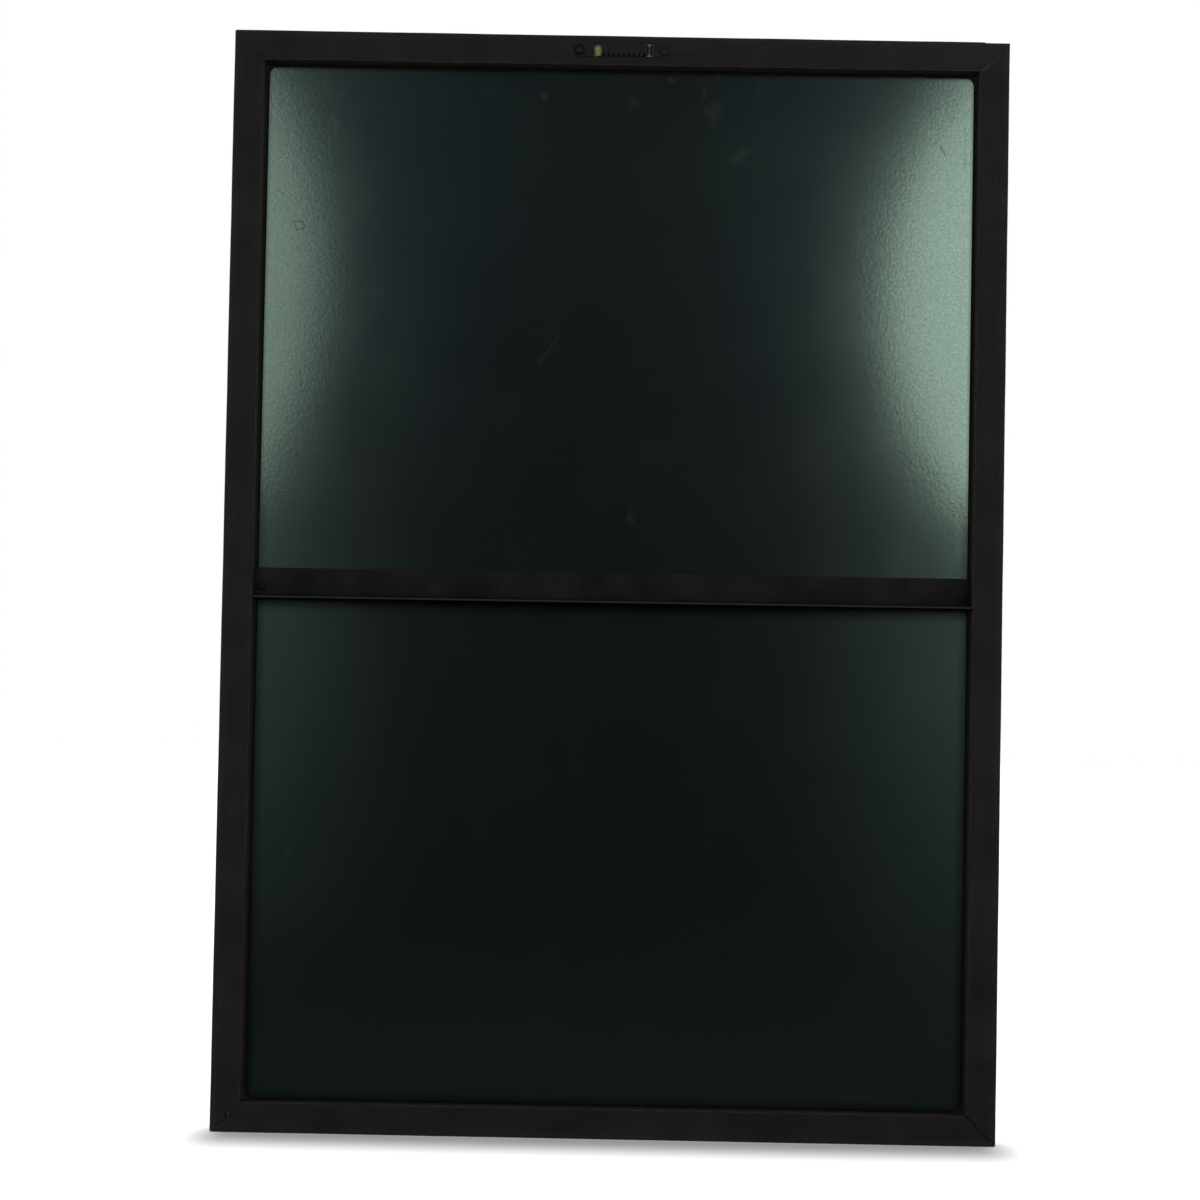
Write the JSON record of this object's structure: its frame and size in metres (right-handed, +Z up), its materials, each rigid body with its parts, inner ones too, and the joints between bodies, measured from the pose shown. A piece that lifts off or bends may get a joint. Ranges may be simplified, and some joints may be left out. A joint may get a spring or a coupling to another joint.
{
  "type": "framed chalkboard",
  "caption": "Portrait framed chalkboard: mitred black wooden frame round a recessed green panel, with an angle brace across the back and a sawtooth hanger on the top rail.",
  "frame": {"origin": "middle of the bottom edge, half way through the overall depth with the hanger", "axes": "+Z up the board, -Y out of the back that hangs against the wall, +Y out of the writing side, +X to the right as seen from the back"},
  "size_m": [0.5, 0.0286, 0.707],
  "materials": {
    "frame_paint": "softwood moulding under satin black paint",
    "chalk_paint": "hardboard under dark green chalk paint, low sheen",
    "brace_paint": "sheet steel angle under satin black paint",
    "screw_black": "blackened steel",
    "hanger_brass": "brass plated pressed steel under worn black lacquer",
    "corner_nail_steel": "bright steel",
    "foam_tape": "closed cell foam tape"
  },
  "bodies": {
    "root": {"bottom_rail": "frame_paint", "top_rail": "frame_paint", "left_stile": "frame_paint", "right_stile": "frame_paint", "corner_nail_bottom_left": "corner_nail_steel", "corner_nail_bottom_right": "corner_nail_steel", "corner_nail_top_left": "corner_nail_steel", "corner_nail_top_right": "corner_nail_steel", "chalk_panel": "chalk_paint", "tape_top": "foam_tape", "tape_bottom": "foam_tape", "tape_left_upper": "foam_tape", "tape_left_lower": "foam_tape", "tape_right_upper": "foam_tape", "tape_right_lower": "foam_tape", "cross_brace": "brace_paint", "brace_screw_left": "screw_black", "brace_screw_right": "screw_black", "sawtooth_hanger": "hanger_brass", "hanger_nail_left": "hanger_brass", "hanger_nail_right": "hanger_brass"}
  },
  "joints": []
}
